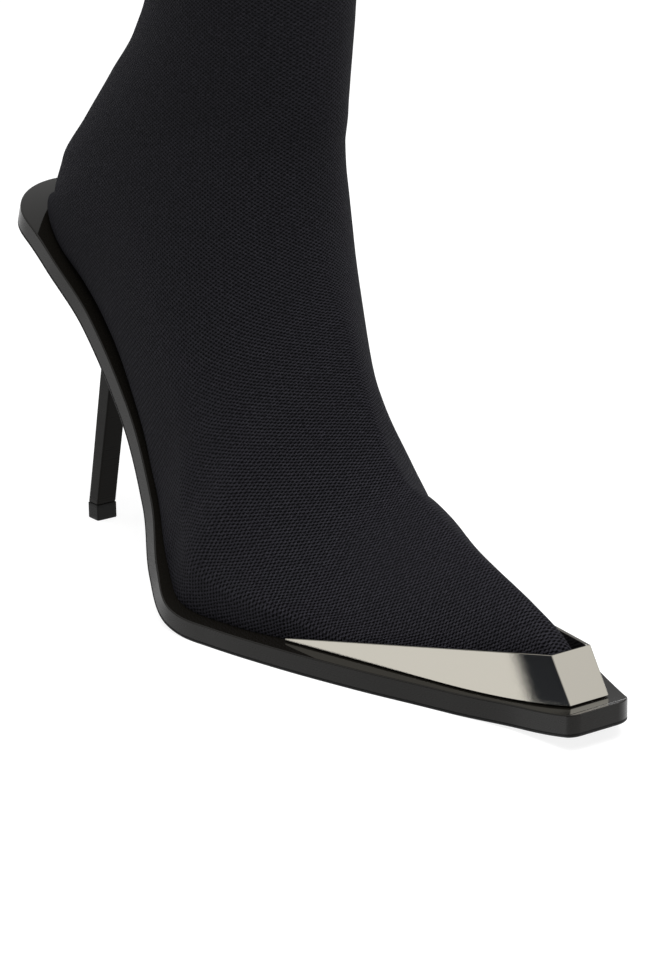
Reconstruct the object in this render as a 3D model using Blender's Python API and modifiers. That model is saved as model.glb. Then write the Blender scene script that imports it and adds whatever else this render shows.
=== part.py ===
"""Pointed sock boot on a thin raised slab with a post heel, right shoe.

Metres, +Z up, toe at +X, the wearer's right side at -Y.
The origin is on the floor, under the middle of the forefoot tread.
"""
import bmesh
import bpy
import math
import numpy as np

# Sizes of the whole boot
SOLE_LENGTH = 0.2444        # flat length of the sole slab, heel end to toe end
HEEL_HEIGHT = 0.1038        # floor to the slab's top at its heel end
BALL_WIDTH = 0.0842         # slab across the ball, both sides added

# Sole slab
SLAB_THICK = 0.0058         # slab under heel and ball
TOE_THICKER = 0.08          # growth of the thickness toward the toe
TREAD_SHARE = 0.66          # share of the slab over the origin
TOE_PITCH = 13.5            # rise of the toe's last bit, degrees
HEEL_CORNER = 0.0210        # corner radius of the slab's heel end
TOE_CORNER_OUT = 0.0028     # corner radius of the toe, outer side
TOE_CORNER_IN = 0.0045      # corner radius of the toe, inner side
TOP_BEVEL = 0.0004
UNDER_BEVEL = 0.0007
SLAB_STATIONS = 64

# Upper
WALL = 0.0015               # knit and its lining
GAP = 0.0003                # between pieces that are stuck together
CAP_CLEAR = 0.0003
HEEL_LEDGE_SHARE = 0.030    # share of the slab where the upper's heel starts
HEEL_ROUND_SHARE = 0.135    # share where its heel curve has opened
CREST_ROUND = 0.40          # rounding of the instep's ridge
CREST_REACH = 0.18          # how far down the section it reaches
UPPER_ROWS = 60
UPPER_HALF_COLUMNS = 15

# Insole
INSOLE_THICK = 0.0015
INSOLE_MARGIN = 0.0011      # between insole edge and the inside of the upper

# Heel post and its tip
POST_WIDTH = 0.0066         # across the shoe
POST_DEPTH = 0.0050         # along the shoe, at the tip
POST_X = 0.0111             # centre of the tip, from the heel end
POST_Y = -0.0020
POST_LEAN = 0.0172          # how far forward its top stands
TIP_HEIGHT = 0.0050
TIP_PROUD = 0.00015         # tip a little fuller than the post

# Toe cap
CAP_SETBACK = 0.0082        # front plate behind the slab's toe
CAP_HALF = 0.0064           # half width of the front plate
CAP_HEIGHT = 0.0117
CAP_LEAN = 0.0075           # how far its top edge leans back
CAP_SHIFT = -0.0003         # middle of the plate, sideways
CAP_SHEET = 0.0010
WING_SHARE = 0.652          # share of the slab where the wings end
WING_END = 0.0007           # height of a wing at its point
WING_COLUMNS = 12            # columns of faces along a wing
WING_LEDGE_OUT = 0.0055     # wing points inside the slab's edge
WING_LEDGE_IN = 0.0040

# Slope of the slab as a share of its steepest slope, along the slab
SLOPE = [
    # share, slope
    (0.00, 0.17), (0.05, 0.40), (0.13, 0.69), (0.21, 0.82), (0.30, 0.96), (0.38, 1.00),
    (0.44, 0.97), (0.48, 0.745), (0.52, 0.305), (0.56, 0.00), (0.83, 0.00), (1.00, 0.00)]
# Toe spring as a share of the last slope
SPRING = [(0.00, 0.0), (0.815, 0.0), (0.91, 0.33), (1.00, 1.0)]
# Half widths of the slab as shares of the ball width
EDGE = [
    # share, outer, inner
    (0.00, 0.322, 0.318), (0.06, 0.350, 0.350), (0.12, 0.353, 0.356), (0.20, 0.334, 0.338),
    (0.30, 0.338, 0.303), (0.40, 0.379, 0.321), (0.47, 0.457, 0.368), (0.52, 0.505, 0.430),
    (0.58, 0.478, 0.485), (0.66, 0.422, 0.495), (0.75, 0.339, 0.420), (0.85, 0.230, 0.312),
    (0.93, 0.162, 0.196), (1.00, 0.150, 0.078)]
# Ledge between the slab's edge and the upper's foot, shares of the ball width
LEDGE = [
    # share, outer, inner
    (0.03, 0.072, 0.068), (0.06, 0.061, 0.057), (0.10, 0.060, 0.058), (0.16, 0.075, 0.068),
    (0.23, 0.073, 0.067), (0.30, 0.052, 0.052), (0.34, 0.044, 0.044), (0.38, 0.033, 0.038),
    (0.43, 0.034, 0.038), (0.47, 0.045, 0.045), (0.51, 0.053, 0.055), (0.55, 0.063, 0.065),
    (0.60, 0.065, 0.074), (0.635, 0.078, 0.086), (0.655, 0.088, 0.093), (0.72, 0.095, 0.119),
    (0.83, 0.089, 0.144), (0.90, 0.084, 0.138), (0.955, 0.101, 0.131)]
# Heel post: its side line from tip to top
POST = [
    # share of height, share of lean, share of the tip's depth
    (0.00, 0.00, 1.00), (0.07, 0.07, 0.98), (0.40, 0.40, 1.03), (0.70, 0.70, 1.08), (1.00, 1.00, 1.25)]
# Sections of the upper over the foot, toe to heel.
# foot: share of the slab under the section.
# ridge_x, ridge_z: top of the section, shares of sole length and heel height.
# outer, inner: half widths as shares of the ball width, at least the foot's.
# low: where the section is widest, 0 at the ridge and 1 at the slab.
# round: 2 is an ellipse, less is a sharper ridge.  square: same, below the widest point.
# side: ridge off the middle, a share of the ball width.
FOOT = [
    # foot, ridge_x, ridge_z, outer, inner, low, round, square, side
    (0.949, 0.9360, 0.140, 0.000, 0.000, 0.50, 2.0, 2.0, -0.005),
    (0.944, 0.9240, 0.200, 0.036, 0.036, 0.60, 2.2, 2.5, -0.004),
    (0.932, 0.9040, 0.235, 0.050, 0.050, 0.68, 2.0, 2.6, -0.004),
    (0.900, 0.8560, 0.286, 0.060, 0.060, 0.86, 1.60, 3.0, -0.002),
    (0.850, 0.7840, 0.338, 0.110, 0.130, 0.90, 1.46, 3.0, 0.004),
    (0.770, 0.7060, 0.392, 0.200, 0.240, 0.91, 1.34, 3.0, 0.020),
    (0.700, 0.6480, 0.441, 0.280, 0.340, 0.90, 1.25, 3.0, 0.033),
    (0.630, 0.6000, 0.519, 0.360, 0.415, 0.85, 1.18, 3.0, 0.036),
    (0.560, 0.5670, 0.645, 0.415, 0.399, 0.84, 1.29, 3.0, 0.030),
    (0.480, 0.5390, 0.800, 0.414, 0.352, 0.79, 1.46, 2.8, 0.022),
    (0.380, 0.5100, 0.948, 0.362, 0.346, 0.66, 1.66, 2.6, 0.012),
    (0.270, 0.4970, 1.060, 0.350, 0.352, 0.60, 1.80, 2.4, 0.006),
    (0.170, 0.4950, 1.145, 0.350, 0.357, 0.58, 1.92, 2.3, 0.000),
    (0.100, 0.4955, 1.206, 0.348, 0.353, 0.56, 1.97, 2.3, 0.000),
    (0.060, 0.4965, 1.246, 0.347, 0.352, 0.54, 1.98, 2.3, 0.000),
    (0.030, 0.4985, 1.290, 0.343, 0.349, 0.52, 1.98, 2.4, 0.000)]
# Sections of the leg, heel to collar.  back_x, back_z: the back line, same shares;
# the rest as above.
LEG = [
    # back_x, back_z, ridge_x, ridge_z, outer, inner, low, round, square, side
    (0.0385, 1.080, 0.5055, 1.368, 0.323, 0.340, 0.51, 2.0, 2.2, 0.0),
    (0.0810, 1.214, 0.5080, 1.445, 0.313, 0.324, 0.48, 2.0, 2.0, 0.0),
    (0.1335, 1.358, 0.5100, 1.532, 0.301, 0.313, 0.46, 2.0, 1.9, 0.0),
    (0.1850, 1.493, 0.5120, 1.618, 0.284, 0.302, 0.45, 2.0, 1.9, 0.0),
    (0.2150, 1.638, 0.5135, 1.734, 0.279, 0.298, 0.45, 2.0, 1.9, 0.0),
    (0.2130, 1.830, 0.5135, 1.898, 0.289, 0.306, 0.46, 2.0, 1.9, 0.0),
    (0.1930, 2.071, 0.5135, 2.110, 0.318, 0.328, 0.48, 2.0, 2.0, 0.0),
    (0.1600, 2.428, 0.5160, 2.428, 0.364, 0.368, 0.50, 2.0, 2.0, 0.0)]


def clear_scene():
    """Remove what the start file brings."""
    for obj in list(bpy.data.objects):
        bpy.data.objects.remove(obj, do_unlink=True)
    for mesh in list(bpy.data.meshes):
        bpy.data.meshes.remove(mesh)


def smooth(table, column, at):
    """Read one column of a table at any place, smoothly and without overshoot."""
    xs = np.array([row[0] for row in table], float)
    ys = np.array([row[column] for row in table], float)
    return monotone(xs, ys, np.asarray(at, float))


def monotone(xs, ys, at):
    """Monotone cubic through the points."""
    at = np.clip(at, xs[0], xs[-1])
    h = np.diff(xs)
    d = np.diff(ys) / h
    m = np.zeros(len(xs))
    m[0] = d[0]
    m[-1] = d[-1]
    for i in range(1, len(xs) - 1):
        if d[i - 1] * d[i] > 0:
            w1 = 2 * h[i] + h[i - 1]
            w2 = h[i] + 2 * h[i - 1]
            m[i] = (w1 + w2) / (w1 / d[i - 1] + w2 / d[i])
    i = np.clip(np.searchsorted(xs, at, side="right") - 1, 0, len(xs) - 2)
    t = (at - xs[i]) / h[i]
    a = (1 + 2 * t) * (1 - t) ** 2
    b = t * (1 - t) ** 2
    c = t * t * (3 - 2 * t)
    e = t * t * (t - 1)
    return a * ys[i] + b * h[i] * m[i] + c * ys[i + 1] + e * h[i] * m[i + 1]


class Slab:
    """The bent centre line of the slab's top, from sole length and heel height."""

    def __init__(self):
        self.share = np.linspace(0, 1, 401)
        base = smooth(SLOPE, 1, self.share)
        rise = math.radians(TOE_PITCH) * smooth(SPRING, 1, self.share)
        low = 30.0
        high = 85.0
        for _ in range(40):
            steep = (low + high) / 2
            x, z, angle = self.bend(base * math.radians(steep) - rise)
            i = int(round(TREAD_SHARE * 400))
            drop = (z[0] - z[i]) * SOLE_LENGTH / x[-1]
            if drop + SLAB_THICK > HEEL_HEIGHT:
                high = steep
            else:
                low = steep
        scale = SOLE_LENGTH / x[-1]
        self.x = x * scale
        self.z = (z - z[i]) * scale + SLAB_THICK
        self.angle = angle
        self.arc = scale
        self.tread_x = self.x[i]

    @staticmethod
    def bend(angle):
        step = 1.0 / 400
        mid = (angle[1:] + angle[:-1]) / 2
        x = np.concatenate([[0], np.cumsum(np.cos(mid) * step)])
        z = np.concatenate([[0], np.cumsum(-np.sin(mid) * step)])
        return x, z, angle

    def at(self, share, up=0.0):
        """Point in the part's frame, `up` above the slab's underside."""
        x = np.interp(share, self.share, self.x)
        z = np.interp(share, self.share, self.z)
        a = np.interp(share, self.share, self.angle)
        up = up - SLAB_THICK
        return x + np.sin(np.maximum(a, 0)) * up - self.tread_x, z + np.cos(a) * up, a

    def top(self, share, up=0.0):
        return self.at(share, slab_thick(share) + up)


def slab_thick(share):
    """Slab thickness, a little more toward the toe."""
    return SLAB_THICK * (1 + TOE_THICKER * np.clip((np.asarray(share, float) - 0.6) / 0.4, 0, 1))


def edge(share):
    """Half widths of the slab before its corners are rounded: outer, inner."""
    return smooth(EDGE, 1, share) * BALL_WIDTH, smooth(EDGE, 2, share) * BALL_WIDTH


def feather(share):
    """Half widths of the upper's foot on the slab: outer, inner."""
    outer, inner = edge(share)
    ledge_out = smooth(LEDGE, 1, share) * BALL_WIDTH
    ledge_in = smooth(LEDGE, 2, share) * BALL_WIDTH
    k = np.clip((np.asarray(share, float) - HEEL_LEDGE_SHARE) / (HEEL_ROUND_SHARE - HEEL_LEDGE_SHARE), 0, 1)
    arc = np.sqrt(1 - (1 - k) ** 2.3)
    return (outer - ledge_out) * arc, (inner - ledge_in) * arc


def corner(distance, radius):
    """How much a rounded corner takes off at a distance from the end."""
    d = min(distance, radius)
    return radius - math.sqrt(max(radius * radius - (radius - d) ** 2, 0))


def build_object(name, verts, faces, material):
    """Make one named object with its own material."""
    mesh = bpy.data.meshes.new(name)
    mesh.from_pydata([tuple(float(c) for c in v) for v in verts], [], faces)
    mesh.validate()
    obj = bpy.data.objects.new(name, mesh)
    COLLECTION.objects.link(obj)
    obj.data.materials.append(material)
    return obj


def tidy(obj, merge=0.00002):
    """Weld, face outward."""
    bm = bmesh.new()
    bm.from_mesh(obj.data)
    bmesh.ops.remove_doubles(bm, verts=bm.verts, dist=merge)
    bmesh.ops.recalc_face_normals(bm, faces=bm.faces)
    bm.to_mesh(obj.data)
    bm.free()


def make_material(name, colour, rough, metal=0.0):
    """One plain material of its own."""
    mat = bpy.data.materials.new(name)
    mat.use_nodes = True
    shader = mat.node_tree.nodes["Principled BSDF"]
    shader.inputs["Base Color"].default_value = (*colour, 1)
    shader.inputs["Roughness"].default_value = rough
    shader.inputs["Metallic"].default_value = metal
    mat.diffuse_color = (*colour, 1)
    return mat


def loft(rings):
    """Faces between closed rings of equal count, with both ends closed."""
    count = len(rings[0])
    verts = [p for ring in rings for p in ring]
    faces = []
    for i in range(len(rings) - 1):
        for j in range(count):
            k = (j + 1) % count
            faces.append((i * count + j, i * count + k, (i + 1) * count + k, (i + 1) * count + j))
    faces.append(tuple(range(count))[::-1])
    last = (len(rings) - 1) * count
    faces.append(tuple(last + j for j in range(count)))
    return verts, faces


def slab_stations(count):
    """Shares along the slab, closer together at its two rounded ends."""
    heel = HEEL_CORNER / SLAB.arc
    toe = TOE_CORNER_IN / SLAB.arc
    ends = [heel * (1 - math.cos(math.pi / 2 * i / 7)) for i in range(8)]
    front = [1 - toe * (1 - math.cos(math.pi / 2 * i / 6)) for i in range(7)]
    middle = np.linspace(heel, 1 - toe, count - 13)[1:-1]
    return sorted(ends + list(middle) + front)


def build_sole(material):
    """The slab as one lofted solid with small bevels."""
    rings = []
    shares = slab_stations(SLAB_STATIONS)
    bevel_share = TOP_BEVEL / SLAB.arc
    shares = [0.0, bevel_share] + [s for s in shares if bevel_share * 2 < s < 1 - bevel_share * 2]
    shares += [1 - bevel_share, 1.0]
    for s in shares:
        outer, inner = (float(v) for v in edge(s))
        back = s * SLAB.arc
        front = (1 - s) * SLAB.arc
        outer -= corner(back, HEEL_CORNER) + corner(front, TOE_CORNER_OUT)
        inner -= corner(back, HEEL_CORNER) + corner(front, TOE_CORNER_IN)
        thick = float(slab_thick(s))
        end = s in (0.0, 1.0)
        t_in = TOP_BEVEL if end else 0.0
        u_in = UNDER_BEVEL if end else 0.0
        profile = [
            (-outer + TOP_BEVEL, thick - t_in * 0.5), (-outer, thick - TOP_BEVEL - t_in * 0.5),
            (-outer, UNDER_BEVEL + u_in * 0.5), (-outer + UNDER_BEVEL, u_in * 0.5),
            (inner - UNDER_BEVEL, u_in * 0.5), (inner, UNDER_BEVEL + u_in * 0.5),
            (inner, thick - TOP_BEVEL - t_in * 0.5), (inner - TOP_BEVEL, thick - t_in * 0.5)]
        ring = []
        for y, up in profile:
            x, z, _ = SLAB.at(s, up)
            ring.append((x, y, z))
        rings.append(ring)
    verts, faces = loft(rings)
    obj = build_object("sole", verts, faces, material)
    tidy(obj)
    return obj


def upper_grid(rows, half):
    """Points of the upper's outside, one row a section, outer foot to inner foot."""
    n_foot = len(FOOT)
    n_leg = len(LEG)
    last = n_foot + n_leg - 1
    v = np.linspace(0, last, rows)
    knots = np.arange(last + 1)
    columns = []
    for j in range(8):
        ys = np.array([r[1 + j] for r in FOOT] + [r[2 + j] for r in LEG])
        columns.append(monotone(knots, ys, v))
    ridge_x, ridge_z, outer, inner, low, rnd, square, side = columns
    share = monotone(np.arange(n_foot), np.array([r[0] for r in FOOT]), np.minimum(v, n_foot - 1))
    foot_x, foot_z, _ = SLAB.top(share, GAP)
    heel_x, heel_z, _ = SLAB.top(FOOT[-1][0], GAP)
    leg_knots = np.arange(n_foot - 1, last + 1)
    leg_x = np.array([heel_x + SLAB.tread_x] + [r[0] * SOLE_LENGTH for r in LEG]) - SLAB.tread_x
    leg_z = np.array([float(heel_z)] + [r[1] * HEEL_HEIGHT for r in LEG])
    on_leg = v > n_foot - 1
    back_v = np.maximum(v, n_foot - 1)
    back_x = np.where(on_leg, monotone(leg_knots, leg_x, back_v), foot_x)
    back_z = np.where(on_leg, monotone(leg_knots, leg_z, back_v), foot_z)
    f_out, f_in = feather(share)
    closed = v >= n_foot - 1 - 1e-6
    toe = v < 1e-6
    f_out = np.where(closed | toe, 0, np.where(v < 1, f_out * v, f_out))
    f_in = np.where(closed | toe, 0, np.where(v < 1, f_in * v, f_in))
    f_out = np.minimum(f_out, CAP_INSIDE + np.maximum(v - 2, 0))
    f_in = np.minimum(f_in, CAP_INSIDE + np.maximum(v - 2, 0))
    ridge_x = ridge_x * SOLE_LENGTH - SLAB.tread_x
    ridge_z = ridge_z * HEEL_HEIGHT
    side = side * BALL_WIDTH
    outer = np.maximum(outer * BALL_WIDTH, f_out + 0.0002)
    inner = np.maximum(inner * BALL_WIDTH, f_in + 0.0002)
    u = np.linspace(0, 1, half)
    grid = np.zeros((rows, 2 * half - 1, 3))
    for i in range(rows):
        upper_part = u <= 0.5
        t = np.where(upper_part, low[i] * (1 - np.cos(np.pi * u)),
                     low[i] + (1 - low[i]) * (-np.cos(np.pi * u)))
        r = np.clip(t / low[i], 0, 1)
        arch = (1 - (1 - r) ** rnd[i]) ** (1 / rnd[i])
        crest = CREST_ROUND * max(2 - rnd[i], 0) * np.sqrt(r) * np.exp(-r / CREST_REACH)
        arch = (arch ** 3 + crest ** 3) ** (1 / 3)
        q = np.clip((t - low[i]) / (1 - low[i]), 0, 1)
        foot = np.maximum(1 - q ** square[i], 0) ** (1 / square[i])
        mid = side[i]
        if toe[i]:
            mid = FOOT[0][8] * BALL_WIDTH
            y_out = np.full(half, mid)
            y_in = np.full(half, mid)
        else:
            y_out = np.where(upper_part, mid - (outer[i] + mid) * arch,
                             -(f_out[i] + (outer[i] - f_out[i]) * foot))
            y_in = np.where(upper_part, mid + (inner[i] - mid) * arch,
                            f_in[i] + (inner[i] - f_in[i]) * foot)
        x = ridge_x[i] + (back_x[i] - ridge_x[i]) * t
        z = ridge_z[i] + (back_z[i] - ridge_z[i]) * t
        grid[i, :half] = np.stack([x, y_out, z], 1)[::-1]
        grid[i, half - 1:] = np.stack([x, y_in, z], 1)
    return grid


def build_upper(material):
    """The knit upper: a thin shell, open at the collar and underneath."""
    grid = upper_grid(UPPER_ROWS, UPPER_HALF_COLUMNS)
    rows, cols = grid.shape[:2]
    verts = grid.reshape(-1, 3)
    faces = []
    for i in range(rows - 1):
        for j in range(cols - 1):
            a = i * cols + j
            faces.append((a, a + 1, a + cols + 1, a + cols))
    obj = build_object("upper", verts, faces, material)
    tidy(obj, 0.00005)
    shell = obj.modifiers.new("wall", "SOLIDIFY")
    shell.thickness = WALL
    shell.offset = -1
    shell.use_even_offset = False
    shell.use_rim = True
    apply_modifiers(obj)
    tidy(obj)
    return obj


def apply_modifiers(obj):
    """Bake an object's modifiers into its mesh."""
    graph = bpy.context.evaluated_depsgraph_get()
    mesh = bpy.data.meshes.new_from_object(obj.evaluated_get(graph))
    obj.modifiers.clear()
    obj.data = mesh


def build_insole(material):
    """The footbed, a thin plate on the slab inside the upper."""
    rings = []
    inset = WALL + INSOLE_MARGIN
    for s in np.linspace(0.075, 0.885, 34):
        outer, inner = (float(v) for v in feather(s))
        k = min((s - 0.075) / 0.05, 1.0)
        round_end = math.sqrt(max(1 - (1 - k) ** 2, 0)) * 0.55 + 0.45
        outer = (outer - inset) * round_end
        inner = (inner - inset) * round_end
        ring = []
        for y, up in ((-outer, INSOLE_THICK), (-outer, 0.0), (inner, 0.0), (inner, INSOLE_THICK)):
            x, z, _ = SLAB.top(s, GAP + up)
            ring.append((x, y, z))
        rings.append(ring)
    verts, faces = loft(rings)
    obj = build_object("insole", verts, faces, material)
    tidy(obj)
    return obj


def under_slab(x):
    """Height of the slab's underside over a place along the floor."""
    xs, zs, _ = SLAB.at(np.linspace(0, 0.4, 161))
    return float(np.interp(x, xs, zs))


def build_post(material):
    """The heel post, its top cut to the slab's slope."""
    rings = []
    foot_x = POST_X - SLAB.tread_x
    for k in np.linspace(0, 1, 9):
        shift = POST_LEAN * float(smooth(POST, 1, k))
        half = POST_DEPTH * float(smooth(POST, 2, k)) / 2
        ring = []
        for dx, dy in ((-1, -1), (1, -1), (1, 1), (-1, 1)):
            x = foot_x + shift + dx * half
            y = POST_Y + dy * POST_WIDTH / 2
            top = under_slab(foot_x + POST_LEAN + dx * half) - GAP
            z = TIP_HEIGHT + GAP + (top - TIP_HEIGHT - GAP) * k
            ring.append((x, y, z))
        rings.append(ring)
    verts, faces = loft(rings)
    obj = build_object("heel", verts, faces, material)
    tidy(obj)
    return obj


def build_tip(material):
    """The small top piece that stands on the floor."""
    bpy.ops.mesh.primitive_cube_add(size=1)
    obj = bpy.context.active_object
    obj.name = "heel_tip"
    obj.data.name = "heel_tip"
    half_x = POST_DEPTH / 2 + TIP_PROUD
    half_y = POST_WIDTH / 2 + TIP_PROUD
    foot_x = POST_X - SLAB.tread_x
    for v in obj.data.vertices:
        v.co.x = foot_x + math.copysign(half_x, v.co.x)
        v.co.y = POST_Y + math.copysign(half_y, v.co.y)
        v.co.z = TIP_HEIGHT if v.co.z > 0 else 0.0
    for holder in list(obj.users_collection):
        holder.objects.unlink(obj)
    COLLECTION.objects.link(obj)
    obj.data.materials.append(material)
    return obj


def cap_frame():
    """Front plate corners and wing points of the cap's outside."""
    x = SOLE_LENGTH - SLAB.tread_x - CAP_SETBACK
    foot_z = float(slab_top_height(x)) + GAP
    corners = {}
    for name, way in (("outer", -1), ("inner", 1)):
        y = CAP_SHIFT + way * CAP_HALF
        foot = np.array([x, y, foot_z])
        top = np.array([x - CAP_LEAN, y, foot_z + CAP_HEIGHT])
        end_x, end_z, _ = (float(v) for v in SLAB.top(WING_SHARE, GAP))
        ledge = WING_LEDGE_OUT if way < 0 else WING_LEDGE_IN
        half = float(edge(WING_SHARE)[0 if way < 0 else 1]) - ledge
        end = np.array([end_x, way * half, end_z])
        corners[name] = (foot, top, end)
    return corners


def slab_top_height(x):
    """Height of the slab's top over a place along the floor."""
    shares = np.linspace(0.4, 1.0, 301)
    xs, zs, _ = SLAB.top(shares)
    return np.interp(x, xs, zs)


def wing(foot, top, end, count):
    """Columns of a flat wing from its tail to the fold; its lower edge follows the slab."""
    flat = np.cross(foot - end, top - end)
    tail = end + np.array([0, -flat[2] / flat[1], 1]) * WING_END
    columns = []
    for k in np.linspace(0, 1, count):
        x = end[0] + (foot[0] - end[0]) * k
        z = float(slab_top_height(x)) + GAP
        y = end[1] - (flat[0] * (x - end[0]) + flat[2] * (z - end[2])) / flat[1]
        columns.append((np.array([x, y, z]), tail + (top - tail) * k))
    return columns


def build_cap(material):
    """Folded sheet: a front plate and two long flat wings."""
    corners = cap_frame()
    columns = wing(*corners["outer"], WING_COLUMNS) + wing(*corners["inner"], WING_COLUMNS)[::-1]
    verts = [point for pair in columns for point in pair]
    faces = [(2 * k, 2 * k + 2, 2 * k + 3, 2 * k + 1) for k in range(len(columns) - 1)]
    obj = build_object("toe_cap", verts, faces, material)
    shell = obj.modifiers.new("sheet", "SOLIDIFY")
    shell.thickness = CAP_SHEET
    shell.offset = -1
    shell.use_even_offset = True
    shell.use_rim = True
    apply_modifiers(obj)
    for v in obj.data.vertices:
        v.co.z = max(v.co.z, float(slab_top_height(v.co.x)) + GAP)
    tidy(obj)
    return obj


def main():
    build_sole(make_material("sole_slab", (0.02, 0.02, 0.02), 0.25))
    build_upper(make_material("upper_knit", (0.015, 0.015, 0.017), 0.9))
    build_insole(make_material("insole_sock", (0.03, 0.03, 0.03), 0.8))
    build_post(make_material("heel_post", (0.02, 0.02, 0.02), 0.3))
    build_tip(make_material("heel_rubber", (0.015, 0.015, 0.015), 0.6))
    build_cap(make_material("cap_metal", (0.72, 0.70, 0.66), 0.15, 1.0))


clear_scene()
COLLECTION = bpy.data.collections.new("sock_boot")
bpy.context.scene.collection.children.link(COLLECTION)
SLAB = Slab()
CAP_INSIDE = CAP_HALF - CAP_SHEET - CAP_CLEAR
main()
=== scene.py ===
"""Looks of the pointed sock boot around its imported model.

Metres, +Z up, toe at +X, the wearer's right side at -Y, as in the model.
"""
import math

import bmesh
import bpy
import numpy as np
from mathutils import Matrix, Vector


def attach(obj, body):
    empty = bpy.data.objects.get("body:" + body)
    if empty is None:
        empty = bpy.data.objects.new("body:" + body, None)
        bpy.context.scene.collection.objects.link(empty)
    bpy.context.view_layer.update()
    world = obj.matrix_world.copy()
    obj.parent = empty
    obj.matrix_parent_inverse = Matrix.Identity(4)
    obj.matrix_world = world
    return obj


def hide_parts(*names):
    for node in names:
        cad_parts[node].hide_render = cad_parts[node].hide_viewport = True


# Camera
CAMERA_AZIMUTH = 54.0
CAMERA_ELEVATION = 17.97
CAMERA_ROLL = -0.7
CAMERA_DISTANCE = 1.001
CAMERA_TARGET = (-0.0257, 0.0, 0.0380)
CAMERA_LENS = 134.77
IMAGE_WIDTH = 647
IMAGE_HEIGHT = 970
SENSOR = 36

# Sizes, as in the model's source
SOLE_LENGTH = 0.2444
HEEL_HEIGHT = 0.1038
BALL_WIDTH = 0.0842
SLAB_THICK = 0.0058
TOE_THICKER = 0.08
TREAD_SHARE = 0.66
TOE_PITCH = 13.5
HEEL_CORNER = 0.0210
TOE_CORNER_OUT = 0.0028
TOE_CORNER_IN = 0.0045
WALL = 0.0015
GAP = 0.0003
CAP_CLEAR = 0.0003
HEEL_LEDGE_SHARE = 0.030
HEEL_ROUND_SHARE = 0.135
HEEL_ROUND_POWER = 2.3
CREST_ROUND = 0.40
CREST_REACH = 0.18
INSOLE_THICK = 0.0015
INSOLE_MARGIN = 0.0011
INSOLE_HEEL_SHARE = 0.075
INSOLE_TOE_SHARE = 0.885
POST_WIDTH = 0.0066
POST_DEPTH = 0.0050
POST_X = 0.0111
POST_Y = -0.0020
POST_LEAN = 0.0172
TIP_HEIGHT = 0.0050
TIP_PROUD = 0.00015
CAP_SETBACK = 0.0082
CAP_HALF = 0.0064
CAP_HEIGHT = 0.0117
CAP_LEAN = 0.0075
CAP_SHIFT = -0.0003
CAP_SHEET = 0.0010
WING_SHARE = 0.652
WING_END = 0.0007
WING_COLUMNS = 24
WING_LEDGE_OUT = 0.0055
WING_LEDGE_IN = 0.0040

# Finish
SLAB_STEPS = 400                # of the bent centre line
SLAB_STEEPEST = (30.0, 85.0)    # degrees between which the steepest slope is sought
SLAB_STATIONS = 260
HEEL_STATIONS = 26
TOE_STATIONS_IN = 18
TOE_STATIONS_OUT = 14
BEVEL_RINGS_UNDER = 5
BEVEL_RINGS_TOP = 6
SLAB_BEVEL_TOP = 0.00040
SLAB_BEVEL_UNDER = 0.00045
FLAT_KEEP = 0.00006             # flats start this far behind a rounded edge
OUTSOLE_THICK = 0.0009          # height of the fine line round the slab
OUTSOLE_LINE = 0.00012
UPPER_FOOT_ROWS = 216
UPPER_LEG_ROWS = 84
UPPER_HALF_COLUMNS = 72
HEM_HEIGHT = 0.0085
HEM_ROWS = 34
HEM_ROOM = 1.6                  # the close rows reach so many hem heights down
HEM_SWELL = 0.00035
HEM_STEP = 0.0008
HEM_GROOVE = 0.00018
HEM_GROOVE_BELOW = 0.0009
HEM_GROOVE_WIDTH = 0.0005
RIM_STEPS = 8
RIM_ROUND = 0.9
FOOT_MARGIN = 0.0002            # the knit bulges at least this far past its foot
FOLD_PLACE = -0.0390            # length less height where the forefoot bends
FOLD_DEPTH = 0.0008
FOLD_WIDTH = 0.0035
FOLD_SWELL = 0.0008             # fullness in front of the fold
FOLD_SWELL_PLACE = 0.0135
FOLD_SWELL_WIDTH = 0.0085
FOLD_MIDDLE = 0.0100            # across the foot
FOLD_REACH = 0.0170
FOOTBED_STATIONS = 120
FOOTBED_SOFT = 0.0005
FOOTBED_ROUND_SHARE = 0.05
FOOTBED_END = 0.45              # width of its heel end as a share of the full width
TOUCH = 0.00004                 # pieces that touch stand this far apart
WELD = 0.000005
UPPER_WELD = 0.000012
NEAR = 1e-6
POST_BEVEL = 0.00045
POST_LEVELS = 60
TIP_SOFT = 0.00030
SHARP_ANGLE = 32
RING = 32                       # points round the post
CAP_BEVEL = 0.00022
CAP_BEVEL_ANGLE = 25
CAP_FLAT_COSINE = 0.9998        # faces nearer than this to a folded face's way stay flat

# Knit
WALE_PITCH = 0.00087            # between columns of holes
COURSE_PITCH = 0.00112          # between holes of a column
WALE_FOOT = 0.020               # height less length where the wales have turned along the foot
WALE_LEG = 0.130                # and where they still run down the leg
WALE_FOOT_ANGLE = 28.0
WALE_LEG_ANGLE = 87.0
KNIT_GRID_ROWS = 64
KNIT_GRID_HALF = 17
KNIT_DARK = (0.0013, 0.0013, 0.0015)
KNIT_LIGHT = (0.0128, 0.0124, 0.0151)
KNIT_STRAY_SCALE = 420
KNIT_STRAY = (2.2, 3.0)         # how far loops stray across and along the wales, radians
KNIT_FUZZ_SCALE = 1300
KNIT_MIDDLE = 0.6               # share of yarn that the contrast leaves alone
KNIT_HEIGHT_COUNTS = 0.7        # the place down the boot is its length less so much height
# ranges of the knit's shader: from, to, value there, value there
KNIT_HOLE = (0.85, -0.35, 0.0, 1.0)
KNIT_FUZZ = (0.25, 0.75, 0.45, 1.45)
KNIT_CONTRAST = (-0.17, 0.03, 0.55, 2.3)
# painted shade: the knit's colour darker down the leg, lighter on the forefoot that faces the
# light from above
KNIT_PAINTED_SHADE = (-0.24, 0.06, 0.36, 0.69)

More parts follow.
